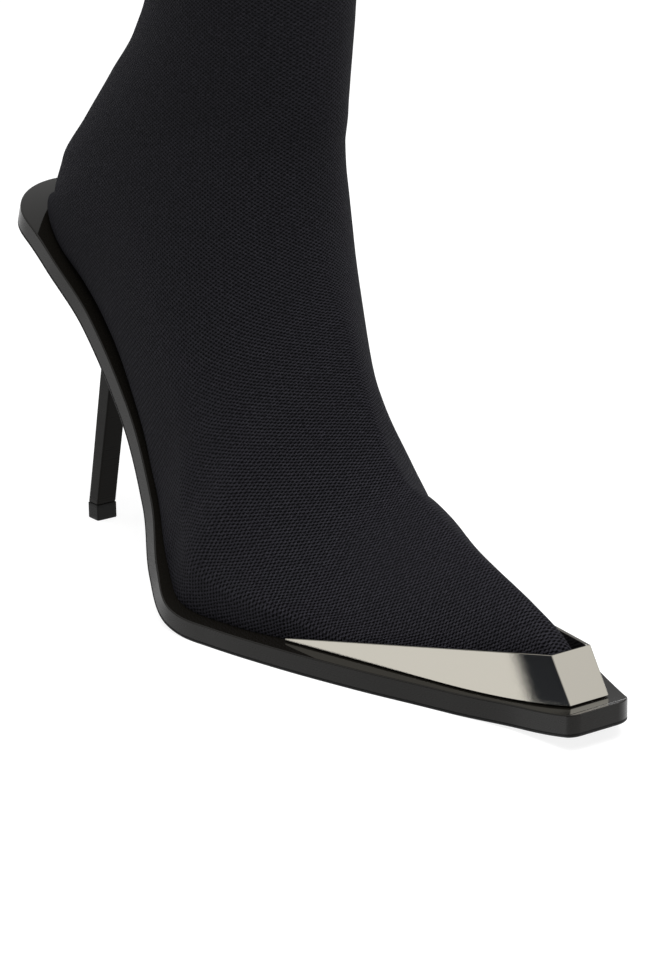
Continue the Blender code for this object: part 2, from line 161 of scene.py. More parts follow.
# Other surfaces
LINING_COLOUR = (0.010, 0.010, 0.011)
RUBBER_COLOUR = (0.0045, 0.0044, 0.0042)
NICKEL_COLOUR = (0.449, 0.427, 0.374)
NICKEL_ROUGH = (0.0, 1.0, 0.004, 0.012)         # noise from, to, roughness there
LACQUER_COLOUR = (0.0046, 0.0041, 0.0033)
LACQUER_BRUSH = (40, 40, 1400)  # fine upright, long round the slab
# lacquers: name, roughness, depth of the brushing, shine
SIDE_LACQUER = ("slab_side_lacquer", 0.25, 0.3, 0.20)
TOP_LACQUER = ("slab_top_lacquer", 0.06, 0.05, 0.40)
POST_LACQUER = ("post_lacquer", 0.30, 0.3, 0.06)

# Stage
FLOOR_GLOW = 0.86
FLOOR_HALF = 80.0
FLOOR_COLOUR = (0.24, 0.24, 0.24)
FLOOR_ROUGH = (0.0, 1.0, 0.58, 0.64)    # noise from, to, roughness there
FLAG_COLOUR = (0.045, 0.050, 0.062)
SKY = (0.0, 0.9, 0.20, 0.66)    # from the level, to this share of the top: strength at each
LIGHT_AIM = (-0.02, 0, 0.06)
LIGHTS = [
    # name, place, size, watts, mirrored instead of lighting the cloth
    ("overhead", (0.50, -0.20, 1.25), 1.0, 28.5, False),
    ("left", (-1.2, -0.8, 0.8), 0.9, 3.4, False),
    ("right", (0.90, 0.78, 0.66), 1.4, 3.9, True)]
# corners of an upright dark flag, which the cap's outer wing mirrors near its fold: x, z
FLAG = [(0.0580, 0.0003), (0.1300, 0.0003), (0.1300, 0.0300), (0.0405, 0.0300)]
FLAG_Y = -0.065

# Slope of the slab as a share of its steepest slope, along the slab
SLOPE = [
    # share, slope
    (0.00, 0.17), (0.05, 0.40), (0.13, 0.69), (0.21, 0.82), (0.30, 0.96), (0.38, 1.00),
    (0.44, 0.97), (0.48, 0.745), (0.52, 0.305), (0.56, 0.00), (0.83, 0.00), (1.00, 0.00)]
# Toe spring as a share of the last slope
SPRING = [(0.00, 0.0), (0.815, 0.0), (0.91, 0.33), (1.00, 1.0)]
# Half widths of the slab as shares of the ball width
EDGE = [
    # share, outer, inner
    (0.00, 0.322, 0.318), (0.06, 0.350, 0.350), (0.12, 0.353, 0.356), (0.20, 0.334, 0.338),
    (0.30, 0.338, 0.303), (0.40, 0.379, 0.321), (0.47, 0.457, 0.368), (0.52, 0.505, 0.430),
    (0.58, 0.478, 0.485), (0.66, 0.422, 0.495), (0.75, 0.339, 0.420), (0.85, 0.230, 0.312),
    (0.93, 0.162, 0.196), (1.00, 0.150, 0.078)]
# Ledge between the slab's edge and the upper's foot, shares of the ball width
LEDGE = [
    # share, outer, inner
    (0.03, 0.072, 0.068), (0.06, 0.061, 0.057), (0.10, 0.060, 0.058), (0.16, 0.075, 0.068),
    (0.23, 0.073, 0.067), (0.30, 0.052, 0.052), (0.34, 0.044, 0.044), (0.38, 0.033, 0.038),
    (0.43, 0.034, 0.038), (0.47, 0.045, 0.045), (0.51, 0.053, 0.055), (0.55, 0.063, 0.065),
    (0.60, 0.065, 0.074), (0.635, 0.078, 0.086), (0.655, 0.088, 0.093), (0.72, 0.095, 0.119),
    (0.83, 0.089, 0.144), (0.90, 0.084, 0.138), (0.955, 0.101, 0.131)]
# Heel post: its side line from tip to top
POST = [
    # share of height, share of lean, share of the tip's depth
    (0.00, 0.00, 1.00), (0.07, 0.07, 0.98), (0.40, 0.40, 1.03), (0.70, 0.70, 1.08),
    (1.00, 1.00, 1.25)]
# Sections of the upper over the foot, toe to heel.
# foot: share of the slab under the section.
# ridge_x, ridge_z: top of the section, shares of sole length and heel height.
# outer, inner: half widths as shares of the ball width, at least the foot's.
# low: where the section is widest, 0 at the ridge and 1 at the slab.
# round: 2 is an ellipse, less is a sharper ridge.  square: same, below the widest point.
# side: ridge off the middle, a share of the ball width.
FOOT = [
    # foot, ridge_x, ridge_z, outer, inner, low, round, square, side
    (0.949, 0.9360, 0.140, 0.000, 0.000, 0.50, 2.0, 2.0, -0.005),
    (0.944, 0.9240, 0.200, 0.036, 0.036, 0.60, 2.2, 2.5, -0.004),
    (0.932, 0.9040, 0.235, 0.050, 0.050, 0.68, 2.0, 2.6, -0.004),
    (0.900, 0.8560, 0.286, 0.060, 0.060, 0.86, 1.60, 3.0, -0.002),
    (0.850, 0.7840, 0.338, 0.110, 0.130, 0.90, 1.46, 3.0, 0.004),
    (0.770, 0.7060, 0.392, 0.200, 0.240, 0.91, 1.34, 3.0, 0.020),
    (0.700, 0.6480, 0.441, 0.280, 0.340, 0.90, 1.25, 3.0, 0.033),
    (0.630, 0.6000, 0.519, 0.360, 0.415, 0.85, 1.18, 3.0, 0.036),
    (0.560, 0.5670, 0.645, 0.415, 0.399, 0.84, 1.29, 3.0, 0.030),
    (0.480, 0.5390, 0.800, 0.414, 0.352, 0.79, 1.46, 2.8, 0.022),
    (0.380, 0.5100, 0.948, 0.362, 0.346, 0.66, 1.66, 2.6, 0.012),
    (0.270, 0.4970, 1.060, 0.350, 0.352, 0.60, 1.80, 2.4, 0.006),
    (0.170, 0.4950, 1.145, 0.350, 0.357, 0.58, 1.92, 2.3, 0.000),
    (0.100, 0.4955, 1.206, 0.348, 0.353, 0.56, 1.97, 2.3, 0.000),
    (0.060, 0.4965, 1.246, 0.347, 0.352, 0.54, 1.98, 2.3, 0.000),
    (0.030, 0.4985, 1.290, 0.343, 0.349, 0.52, 1.98, 2.4, 0.000)]
# Sections of the leg, heel to collar.  back_x, back_z: the back line, same shares;
# the rest as above.
LEG = [
    # back_x, back_z, ridge_x, ridge_z, outer, inner, low, round, square, side
    (0.0385, 1.080, 0.5055, 1.368, 0.323, 0.340, 0.51, 2.0, 2.2, 0.0),
    (0.0810, 1.214, 0.5080, 1.445, 0.313, 0.324, 0.48, 2.0, 2.0, 0.0),
    (0.1335, 1.358, 0.5100, 1.532, 0.301, 0.313, 0.46, 2.0, 1.9, 0.0),
    (0.1850, 1.493, 0.5120, 1.618, 0.284, 0.302, 0.45, 2.0, 1.9, 0.0),
    (0.2150, 1.638, 0.5135, 1.734, 0.279, 0.298, 0.45, 2.0, 1.9, 0.0),
    (0.2130, 1.830, 0.5135, 1.898, 0.289, 0.306, 0.46, 2.0, 1.9, 0.0),
    (0.1930, 2.071, 0.5135, 2.110, 0.318, 0.328, 0.48, 2.0, 2.0, 0.0),
    (0.1600, 2.428, 0.5160, 2.428, 0.364, 0.368, 0.50, 2.0, 2.0, 0.0)]


def add_camera():
    """The photograph's angle on the boot."""
    azimuth = math.radians(CAMERA_AZIMUTH)
    elevation = math.radians(CAMERA_ELEVATION)
    roll = math.radians(CAMERA_ROLL)
    back = Vector((math.sin(azimuth) * math.cos(elevation),
                   -math.cos(azimuth) * math.cos(elevation), math.sin(elevation)))
    level = Vector((math.cos(azimuth), math.sin(azimuth), 0))
    up = back.cross(level)
    right = level * math.cos(roll) + up * math.sin(roll)
    top = up * math.cos(roll) - level * math.sin(roll)
    eye = Vector(CAMERA_TARGET) + back * CAMERA_DISTANCE
    camera = bpy.data.objects.new("camera", bpy.data.cameras.new("camera"))
    bpy.context.scene.collection.objects.link(camera)
    rows = [[*line] for line in zip(right, top, back, eye)]
    camera.matrix_world = Matrix(rows + [[0, 0, 0, 1]])
    camera.data.sensor_fit = "VERTICAL"
    camera.data.sensor_height = SENSOR
    camera.data.sensor_width = SENSOR * IMAGE_WIDTH / IMAGE_HEIGHT
    camera.data.lens = CAMERA_LENS
    camera.data.clip_start = 0.01
    camera.data.clip_end = 50
    bpy.context.scene.camera = camera


def monotone(xs, ys, at):
    """Monotone cubic through the points."""
    at = np.clip(at, xs[0], xs[-1])
    h = np.diff(xs)
    d = np.diff(ys) / h
    m = np.zeros(len(xs))
    m[0] = d[0]
    m[-1] = d[-1]
    for i in range(1, len(xs) - 1):
        if d[i - 1] * d[i] > 0:
            w1 = 2 * h[i] + h[i - 1]
            w2 = h[i] + 2 * h[i - 1]
            m[i] = (w1 + w2) / (w1 / d[i - 1] + w2 / d[i])
    i = np.clip(np.searchsorted(xs, at, side="right") - 1, 0, len(xs) - 2)
    t = (at - xs[i]) / h[i]
    a = (1 + 2 * t) * (1 - t) ** 2
    b = t * (1 - t) ** 2
    c = t * t * (3 - 2 * t)
    e = t * t * (t - 1)
    return a * ys[i] + b * h[i] * m[i] + c * ys[i + 1] + e * h[i] * m[i + 1]


def column(table, index, at):
    """Read one column of a table at any place, smoothly and without overshoot."""
    xs = np.array([row[0] for row in table], float)
    ys = np.array([row[index] for row in table], float)
    return monotone(xs, ys, np.asarray(at, float))


def ease(value, start, end):
    """0 at start, 1 at end, smooth between."""
    t = np.clip((np.asarray(value, float) - start) / (end - start), 0, 1)
    return t * t * (3 - 2 * t)


class Slab:
    """The bent centre line of the slab's top, from sole length and heel height."""

    def __init__(self):
        self.share = np.linspace(0, 1, SLAB_STEPS + 1)
        base = column(SLOPE, 1, self.share)
        rise = math.radians(TOE_PITCH) * column(SPRING, 1, self.share)
        low, high = SLAB_STEEPEST
        i = int(round(TREAD_SHARE * SLAB_STEPS))
        for _ in range(40):
            steep = (low + high) / 2
            x, z, angle = self.bend(base * math.radians(steep) - rise)
            drop = (z[0] - z[i]) * SOLE_LENGTH / x[-1]
            if drop + SLAB_THICK > HEEL_HEIGHT:
                high = steep
            else:
                low = steep
        scale = SOLE_LENGTH / x[-1]
        self.x = x * scale
        self.z = (z - z[i]) * scale + SLAB_THICK
        self.angle = angle
        self.arc = scale
        self.tread_x = self.x[i]

    @staticmethod
    def bend(angle):
        """A line of length 1 with these slopes."""
        step = 1.0 / SLAB_STEPS
        mid = (angle[1:] + angle[:-1]) / 2
        x = np.concatenate([[0], np.cumsum(np.cos(mid) * step)])
        z = np.concatenate([[0], np.cumsum(-np.sin(mid) * step)])
        return x, z, angle

    def at(self, share, up=0.0):
        """Points `up` above the slab's underside."""
        x = np.interp(share, self.share, self.x)
        z = np.interp(share, self.share, self.z)
        a = np.interp(share, self.share, self.angle)
        up = up - SLAB_THICK
        return x + np.sin(np.maximum(a, 0)) * up - self.tread_x, z + np.cos(a) * up

    def top(self, share, up=0.0):
        """Points `up` above the slab's top."""
        return self.at(share, slab_thick(share) + up)


def slab_thick(share):
    """Slab thickness, a little more toward the toe."""
    return SLAB_THICK * (1 + TOE_THICKER * np.clip((np.asarray(share, float) - 0.6) / 0.4, 0, 1))


def edge(share):
    """Half widths of the slab before its corners are rounded: outer, inner."""
    return column(EDGE, 1, share) * BALL_WIDTH, column(EDGE, 2, share) * BALL_WIDTH


def feather(share):
    """Half widths of the upper's foot on the slab: outer, inner."""
    outer, inner = edge(share)
    past = np.asarray(share, float) - HEEL_LEDGE_SHARE
    k = np.clip(past / (HEEL_ROUND_SHARE - HEEL_LEDGE_SHARE), 0, 1)
    arc = np.sqrt(1 - (1 - k) ** HEEL_ROUND_POWER)
    ledge_out = column(LEDGE, 1, share) * BALL_WIDTH
    ledge_in = column(LEDGE, 2, share) * BALL_WIDTH
    return (outer - ledge_out) * arc, (inner - ledge_in) * arc


def new_object(name, verts, faces, materials, slots=None, smooth=True):
    """One mesh object with its materials."""
    mesh = bpy.data.meshes.new(name)
    mesh.from_pydata([tuple(map(float, v)) for v in verts], [], faces)
    for surface in materials:
        mesh.materials.append(surface)
    if slots is not None:
        mesh.polygons.foreach_set("material_index", np.asarray(slots, np.int32))
    mesh.polygons.foreach_set("use_smooth", [smooth] * len(mesh.polygons))
    mesh.update()
    obj = bpy.data.objects.new(name, mesh)
    bpy.context.scene.collection.objects.link(obj)
    return obj


def settle(obj, merge=WELD):
    """Weld and face outward."""
    bm = bmesh.new()
    bm.from_mesh(obj.data)
    bmesh.ops.remove_doubles(bm, verts=bm.verts, dist=merge)
    bmesh.ops.recalc_face_normals(bm, faces=bm.faces)
    bm.to_mesh(obj.data)
    bm.free()


def place(obj, slot, *nodes):
    """The piece rides on the boot's one body and stands for its solid."""
    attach(obj, "root")
    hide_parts(*nodes)
    return obj


def add_node(tree, kind, x, y, **values):
    """A shader node at a place in the editor, with some of its settings."""
    node = tree.nodes.new(kind)
    node.location = (x * 180, y * 180)
    for key, value in values.items():
        setattr(node, key, value)
    return node


def material(name, colour, rough, metal=0.0, specular=0.5):
    """A Principled material whose even values sit on the shader itself."""
    mat = bpy.data.materials.new(name)
    mat.use_nodes = True
    shader = mat.node_tree.nodes["Principled BSDF"]
    shader.inputs["Base Color"].default_value = (*colour, 1)
    shader.inputs["Roughness"].default_value = rough
    shader.inputs["Metallic"].default_value = metal
    shader.inputs["Specular IOR Level"].default_value = specular
    mat.diffuse_color = (*colour, 1)
    return mat, mat.node_tree, shader


def math_node(tree, operation, first, second=None, x=0, y=0):
    """A math node over one or two values, which are sockets or numbers."""
    node = add_node(tree, "ShaderNodeMath", x, y, operation=operation)
    for socket, value in zip(node.inputs, (first, second)):
        if value is None:
            continue
        if isinstance(value, (int, float)):
            socket.default_value = value
        else:
            tree.links.new(value, socket)
    return node.outputs[0]


def set_inputs(node, values):
    """Set a node's inputs by name."""
    for name, value in values.items():
        node.inputs[name].default_value = value


def add_noise(tree, x, y, scale, detail=2, vector=None):
    """A noise texture, by default over the generated coordinates."""
    noise = add_node(tree, "ShaderNodeTexNoise", x, y)
    set_inputs(noise, {"Scale": scale, "Detail": detail})
    if vector is not None:
        tree.links.new(vector, noise.inputs["Vector"])
    return noise


def add_range(tree, x, y, value, spans, kind="LINEAR"):
    """Map a value from the first two of the four `spans` to the last two."""
    node = add_node(tree, "ShaderNodeMapRange", x, y, interpolation_type=kind)
    set_inputs(node, dict(zip(("From Min", "From Max", "To Min", "To Max"), spans)))
    tree.links.new(value, node.inputs["Value"])
    return node.outputs[0]


def add_bump(tree, shader, height, strength, distance):
    """Relief on a shader."""
    bump = add_node(tree, "ShaderNodeBump", -1, -2)
    set_inputs(bump, {"Strength": strength, "Distance": distance})
    tree.links.new(height, bump.inputs["Height"])
    tree.links.new(bump.outputs[0], shader.inputs["Normal"])


def knit_material():
    """Black knit: a staggered lattice of small holes between yarn heads."""
    mat, tree, shader = material("black_knit", KNIT_LIGHT, 0.85, specular=0.05)
    set_inputs(shader, {"Sheen Weight": 0.014, "Sheen Roughness": 0.45,
                        "Sheen Tint": (0.80, 0.80, 0.95, 1)})
    uv = add_node(tree, "ShaderNodeUVMap", -9, 0, uv_map="knit")
    split = add_node(tree, "ShaderNodeSeparateXYZ", -8, 0)
    tree.links.new(uv.outputs[0], split.inputs[0])
    # the loops don't lie quite evenly
    coord = add_node(tree, "ShaderNodeTexCoord", -10, -3).outputs["Object"]
    uneven = add_noise(tree, -9, -1, KNIT_STRAY_SCALE, vector=coord)
    part = add_node(tree, "ShaderNodeSeparateColor", -8, -1)
    tree.links.new(uneven.outputs["Color"], part.inputs[0])
    waves = []
    for k, turns in enumerate((math.pi / WALE_PITCH, 2 * math.pi / COURSE_PITCH)):
        even = math_node(tree, "MULTIPLY", split.outputs[k], turns, -7, 1 - 2 * k)
        stray = math_node(tree, "MULTIPLY", part.outputs[k], KNIT_STRAY[k], -7, 2 - 4 * k)
        phase = math_node(tree, "ADD", even, stray, -6, 2 - 4 * k)
        waves.append(math_node(tree, "COSINE", phase, None, -6, 1 - 2 * k))
    lattice = math_node(tree, "MULTIPLY", waves[0], waves[1], -5, 0)
    hole = add_range(tree, -4, 1, lattice, KNIT_HOLE, "SMOOTHSTEP")
    noise = add_noise(tree, -6, -3, KNIT_FUZZ_SCALE, detail=3, vector=coord)
    fuzz = add_range(tree, -5, -3, noise.outputs["Fac"], KNIT_FUZZ)
    # the stretched forefoot shows the holes more; painted shade: the leg's colour is a little
    # darker and the forefoot's lighter, for the light from above
    at = add_node(tree, "ShaderNodeSeparateXYZ", -8, -5)
    tree.links.new(coord, at.inputs[0])
    low = math_node(tree, "MULTIPLY_ADD", at.outputs[2], -KNIT_HEIGHT_COUNTS, -7, -5)
    tree.links.new(at.outputs[0], low.node.inputs[2])
    contrast = add_range(tree, -6, -5, low, KNIT_CONTRAST, "SMOOTHSTEP")
    level = add_range(tree, -6, -6, low, KNIT_PAINTED_SHADE, "SMOOTHSTEP")
    middle = math_node(tree, "SUBTRACT", hole, KNIT_MIDDLE, -4, 2)
    wider = math_node(tree, "MULTIPLY", middle, contrast, -4, 3)
    again = math_node(tree, "ADD", wider, level, -4, 4)
    above = math_node(tree, "MAXIMUM", again, 0.0, -4, 5)
    factor = math_node(tree, "MULTIPLY", above, fuzz, -3, 0)
    mix = add_node(tree, "ShaderNodeMix", -2, 1, data_type="RGBA", clamp_factor=False)
    set_inputs(mix, {"A": (*KNIT_DARK, 1), "B": (*KNIT_LIGHT, 1)})
    tree.links.new(factor, mix.inputs["Factor"])
    tree.links.new(mix.outputs["Result"], shader.inputs["Base Color"])
    add_bump(tree, shader, factor, strength=0.9, distance=0.00028)
    return mat


def lining_material():
    """Plain dark lining."""
    mat, tree, shader = material("dark_lining", LINING_COLOUR, 0.9, specular=0.15)
    noise = add_noise(tree, -3, 0, scale=1500)
    add_bump(tree, shader, noise.outputs["Fac"], strength=1.0, distance=0.0002)
    return mat


def lacquer_material(name, rough, grain, shine):
    """Black lacquer over a faintly brushed edge."""
    mat, tree, shader = material(name, LACQUER_COLOUR, rough, specular=shine)
    coord = add_node(tree, "ShaderNodeTexCoord", -7, 0)
    stretch = add_node(tree, "ShaderNodeMapping", -6, 0)
    set_inputs(stretch, {"Scale": LACQUER_BRUSH})
    tree.links.new(coord.outputs["Object"], stretch.inputs["Vector"])
    noise = add_noise(tree, -5, 0, scale=1, detail=4, vector=stretch.outputs[0])
    spans = (0.3, 0.7, rough * 0.8, rough * 1.25)
    spread = add_range(tree, -3, 1, noise.outputs["Fac"], spans)
    tree.links.new(spread, shader.inputs["Roughness"])
    add_bump(tree, shader, noise.outputs["Fac"], strength=grain, distance=0.00002)
    return mat


def rubber_material():
    """Matt black rubber of outsole and tip."""
    mat, tree, shader = material("black_rubber", RUBBER_COLOUR, 0.5, specular=0.15)
    noise = add_noise(tree, -3, 0, scale=2500)
    add_bump(tree, shader, noise.outputs["Fac"], strength=0.5, distance=0.00006)
    return mat


def metal_material():
    """Polished warm nickel, not quite flat."""
    mat, tree, shader = material("warm_nickel", NICKEL_COLOUR, 0.01, metal=1.0)
    noise = add_noise(tree, -4, 0, scale=260, detail=1)
    add_bump(tree, shader, noise.outputs["Fac"], strength=0.06, distance=0.00006)
    fine = add_noise(tree, -4, 2, scale=4000)
    spread = add_range(tree, -3, 2, fine.outputs["Fac"], NICKEL_ROUGH)
    tree.links.new(spread, shader.inputs["Roughness"])
    return mat


def side_rings(shares, outline, levels):
    """Rings round a plate: `outline` gives half widths, `levels` are (inset, height) pairs.

    Each ring runs up the outer side and back down the inner side.
    """
    outer, inner = outline
    flat = np.concatenate([np.stack([shares * SLAB.arc, -outer], 1),
                           np.stack([shares * SLAB.arc, inner], 1)[::-1]])
    ahead = np.roll(flat, -1, 0) - flat
    ahead /= np.linalg.norm(ahead, axis=1)[:, None] + 1e-12
    behind = np.roll(ahead, 1, 0)
    run = ahead + behind
    run /= np.linalg.norm(run, axis=1)[:, None] + 1e-12
    inward = np.stack([-run[:, 1], run[:, 0]], 1)
    rings = []
    for inset, height in levels:
        moved = flat + inward * inset
        share = np.clip(moved[:, 0] / SLAB.arc, 0, 1)
        x, z = height(share)
        rings.append(np.stack([x, moved[:, 1], z], 1))
    return rings


def plate_faces(levels, count):
    """Faces of a stack of rings, closed by strips across top and bottom."""
    faces = []
    for i in range(levels - 1):
        for j in range(count):
            k = (j + 1) % count
            faces.append((i * count + j, i * count + k, (i + 1) * count + k, (i + 1) * count + j))
    half = count // 2
    top = (levels - 1) * count
    for j in range(half - 1):
        faces.append((j + 1, j, count - 1 - j, count - 2 - j))
        faces.append((top + j, top + j + 1, top + count - 2 - j, top + count - 1 - j))
    return faces


def corner_off(distance, radius):
    """How much a rounded corner takes off at a distance from the end."""
    d = np.clip(distance, 0, radius)
    return radius - np.sqrt(np.maximum(radius ** 2 - (radius - d) ** 2, 0))


def quarter(radius, steps):
    """Insets and drops of a rounded edge, from the side to the flat."""
    turns = np.linspace(0, math.pi / 2, steps)
    return [(radius * (1 - math.cos(t)), radius * (1 - math.sin(t))) for t in turns]


def end_shares(length, count):
    """Shares near an end, closer together toward it."""
    return length / SLAB.arc * (1 - np.cos(np.linspace(0, math.pi / 2, count)))


def build_slab():
    """The slab with rounded edges and a fine line over its thin outsole."""
    heel = end_shares(HEEL_CORNER, HEEL_STATIONS)
    toe = np.unique(np.concatenate([end_shares(TOE_CORNER_IN, TOE_STATIONS_IN),
                                    end_shares(TOE_CORNER_OUT, TOE_STATIONS_OUT)]))
    middle = np.linspace(heel[-1], 1 - toe[-1], SLAB_STATIONS)[1:-1]
    shares = np.unique(np.concatenate([heel, middle, 1 - toe]))
    outer, inner = edge(shares)
    back = shares * SLAB.arc
    front = (1 - shares) * SLAB.arc
    outer = outer - corner_off(back, HEEL_CORNER) - corner_off(front, TOE_CORNER_OUT)
    inner = inner - corner_off(back, HEEL_CORNER) - corner_off(front, TOE_CORNER_IN)
    levels = [(SLAB_BEVEL_UNDER + FLAT_KEEP, lambda s: SLAB.at(s))]
    for inset, drop in quarter(SLAB_BEVEL_UNDER, BEVEL_RINGS_UNDER)[::-1]:
        levels.append((inset, lambda s, d=drop: SLAB.at(s, d)))
    levels.append((0, lambda s: SLAB.at(s, SLAB_BEVEL_UNDER + FLAT_KEEP)))
    for inset, height in ((0, -0.6), (1, -0.25), (1, 0.25), (0, 0.6)):
        height = OUTSOLE_THICK + height * OUTSOLE_LINE * 2
        levels.append((inset * OUTSOLE_LINE, lambda s, h=height: SLAB.at(s, h)))
    under = len(levels) - 1
    levels.append((0, lambda s: SLAB.at(s, OUTSOLE_THICK + OUTSOLE_LINE * 1.2 + FLAT_KEEP)))
    levels.append((0, lambda s: SLAB.top(s, -SLAB_BEVEL_TOP - FLAT_KEEP)))
    for inset, drop in quarter(SLAB_BEVEL_TOP, BEVEL_RINGS_TOP):
        levels.append((inset, lambda s, d=drop: SLAB.top(s, -d)))
    levels.append((SLAB_BEVEL_TOP + FLAT_KEEP, lambda s: SLAB.top(s)))
    rings = side_rings(shares, (outer, inner), levels)
    count = len(rings[0])
    faces = plate_faces(len(rings), count)
    slots = []
    for i in range(len(rings) - 1):
        slots += [1 if i < under else 0] * count
    slots += [1, 2] * (count // 2 - 1)
    # the bevel and the flat on top are glossier than the side
    strips = len(rings) - 1
    glossy = BEVEL_RINGS_TOP - 1
    slots[(strips - glossy) * count:strips * count] = [2] * (glossy * count)
    looks = [lacquer_material(*SIDE_LACQUER), rubber_material(), lacquer_material(*TOP_LACQUER)]
    slab = new_object("sole_slab", np.concatenate(rings), faces, looks, slots)
    settle(slab)
    slab.data.shade_smooth()
    return place(slab, "sole_slab", "sole")


def build_footbed():
    """The footbed inside the upper, with a soft edge."""
    shares = np.linspace(INSOLE_HEEL_SHARE, INSOLE_TOE_SHARE, FOOTBED_STATIONS)
    outer, inner = feather(shares)
    inset = WALL + INSOLE_MARGIN
    start = np.clip((shares - INSOLE_HEEL_SHARE) / FOOTBED_ROUND_SHARE, 0, 1)
    round_end = np.sqrt(np.maximum(1 - (1 - start) ** 2, 0)) * (1 - FOOTBED_END) + FOOTBED_END
    levels = [(0.0, lambda s: SLAB.top(s, TOUCH))]
    for drop, height in quarter(FOOTBED_SOFT, 5):
        levels.append((drop, lambda s, h=height: SLAB.top(s, GAP + INSOLE_THICK - h)))
    rings = side_rings(shares, ((outer - inset) * round_end, (inner - inset) * round_end), levels)
    faces = plate_faces(len(rings), len(rings[0]))
    bed = new_object("footbed", np.concatenate(rings), faces, [lining_material()])
    settle(bed)
    return place(bed, "insole_sock", "insole")


def upper_points(v, half):
    """Points of the upper's outside, one row a section, outer foot to inner foot."""
    n_foot = len(FOOT)
    last = n_foot + len(LEG) - 1
    knots = np.arange(last + 1)
    columns = []
    for j in range(8):
        ys = np.array([r[1 + j] for r in FOOT] + [r[2 + j] for r in LEG])
        columns.append(monotone(knots, ys, v))
    ridge_x, ridge_z, outer, inner, low, rnd, square, side = columns
    share = monotone(np.arange(n_foot), np.array([r[0] for r in FOOT]), np.minimum(v, n_foot - 1))
    foot_x, foot_z = SLAB.top(share, TOUCH)
    heel_x, heel_z = SLAB.top(FOOT[-1][0], TOUCH)
    leg_knots = np.arange(n_foot - 1, last + 1)
    leg_x = np.array([heel_x + SLAB.tread_x] + [r[0] * SOLE_LENGTH for r in LEG]) - SLAB.tread_x
    leg_z = np.array([float(heel_z)] + [r[1] * HEEL_HEIGHT for r in LEG])
    on_leg = v > n_foot - 1
    back_v = np.maximum(v, n_foot - 1)
    back_x = np.where(on_leg, monotone(leg_knots, leg_x, back_v), foot_x)
    back_z = np.where(on_leg, monotone(leg_knots, leg_z, back_v), foot_z)
    f_out, f_in = feather(share)
    inside = CAP_HALF - CAP_SHEET - CAP_CLEAR
    tip = np.where(v < 1, v, 1.0)
    room = inside + np.maximum(v - 2, 0)
    closed = v >= n_foot - 1 - NEAR
    f_out = np.where(closed, 0, np.minimum(f_out * tip, room))
    f_in = np.where(closed, 0, np.minimum(f_in * tip, room))
    ridge_x = ridge_x * SOLE_LENGTH - SLAB.tread_x
    ridge_z = ridge_z * HEEL_HEIGHT
    side = side * BALL_WIDTH
    outer = np.maximum(outer * BALL_WIDTH, f_out + FOOT_MARGIN)
    inner = np.maximum(inner * BALL_WIDTH, f_in + FOOT_MARGIN)
    u = np.linspace(0, 1, half)
    grid = np.zeros((len(v), 2 * half - 1, 3))
    upper_part = u <= 0.5
    for i in range(len(v)):
        t = np.where(upper_part, low[i] * (1 - np.cos(np.pi * u)),
                     low[i] + (1 - low[i]) * (-np.cos(np.pi * u)))
        r = np.clip(t / low[i], 0, 1)
        arch = (1 - (1 - r) ** rnd[i]) ** (1 / rnd[i])
        crest = CREST_ROUND * max(2 - rnd[i], 0) * np.sqrt(r) * np.exp(-r / CREST_REACH)
        arch = (arch ** 3 + crest ** 3) ** (1 / 3)
        q = np.clip((t - low[i]) / (1 - low[i]), 0, 1)
        foot = np.maximum(1 - q ** square[i], 0) ** (1 / square[i])
        if v[i] < NEAR:
            y_out = np.full(half, side[i])
            y_in = np.full(half, side[i])
        else:
            y_out = np.where(upper_part, side[i] - (outer[i] + side[i]) * arch,
                             -(f_out[i] + (outer[i] - f_out[i]) * foot))
            y_in = np.where(upper_part, side[i] + (inner[i] - side[i]) * arch,
                            f_in[i] + (inner[i] - f_in[i]) * foot)
        x = ridge_x[i] + (back_x[i] - ridge_x[i]) * t
        z = ridge_z[i] + (back_z[i] - ridge_z[i]) * t
        grid[i, :half] = np.stack([x, y_out, z], 1)[::-1]
        grid[i, half - 1:] = np.stack([x, y_in, z], 1)
    return grid


def grid_normals(grid, closed):
    """Outward normals of the grid; rows in `closed` go all the way round."""
    along = np.gradient(grid, axis=0)
    across = np.gradient(grid, axis=1)
    wrap = grid[:, 1] - grid[:, -2]
    across[closed, 0] = wrap[closed] / 2
    across[closed, -1] = wrap[closed] / 2
    normal = np.cross(across, along)
    normal /= np.linalg.norm(normal, axis=2)[..., None] + 1e-15
    return normal


def wale_direction(points, normal):
    """The way the knit's columns run: down the leg, and forward along the foot, on the surface."""
    lean = ease(points[..., 2] - points[..., 0], WALE_FOOT, WALE_LEG)
    angle = np.radians(WALE_FOOT_ANGLE + (WALE_LEG_ANGLE - WALE_FOOT_ANGLE) * lean)
    way = np.stack([np.cos(angle), np.zeros_like(angle), -np.sin(angle)], -1)
    way -= normal * (way * normal).sum(-1)[..., None]
    return way / (np.linalg.norm(way, axis=-1)[..., None] + 1e-12)


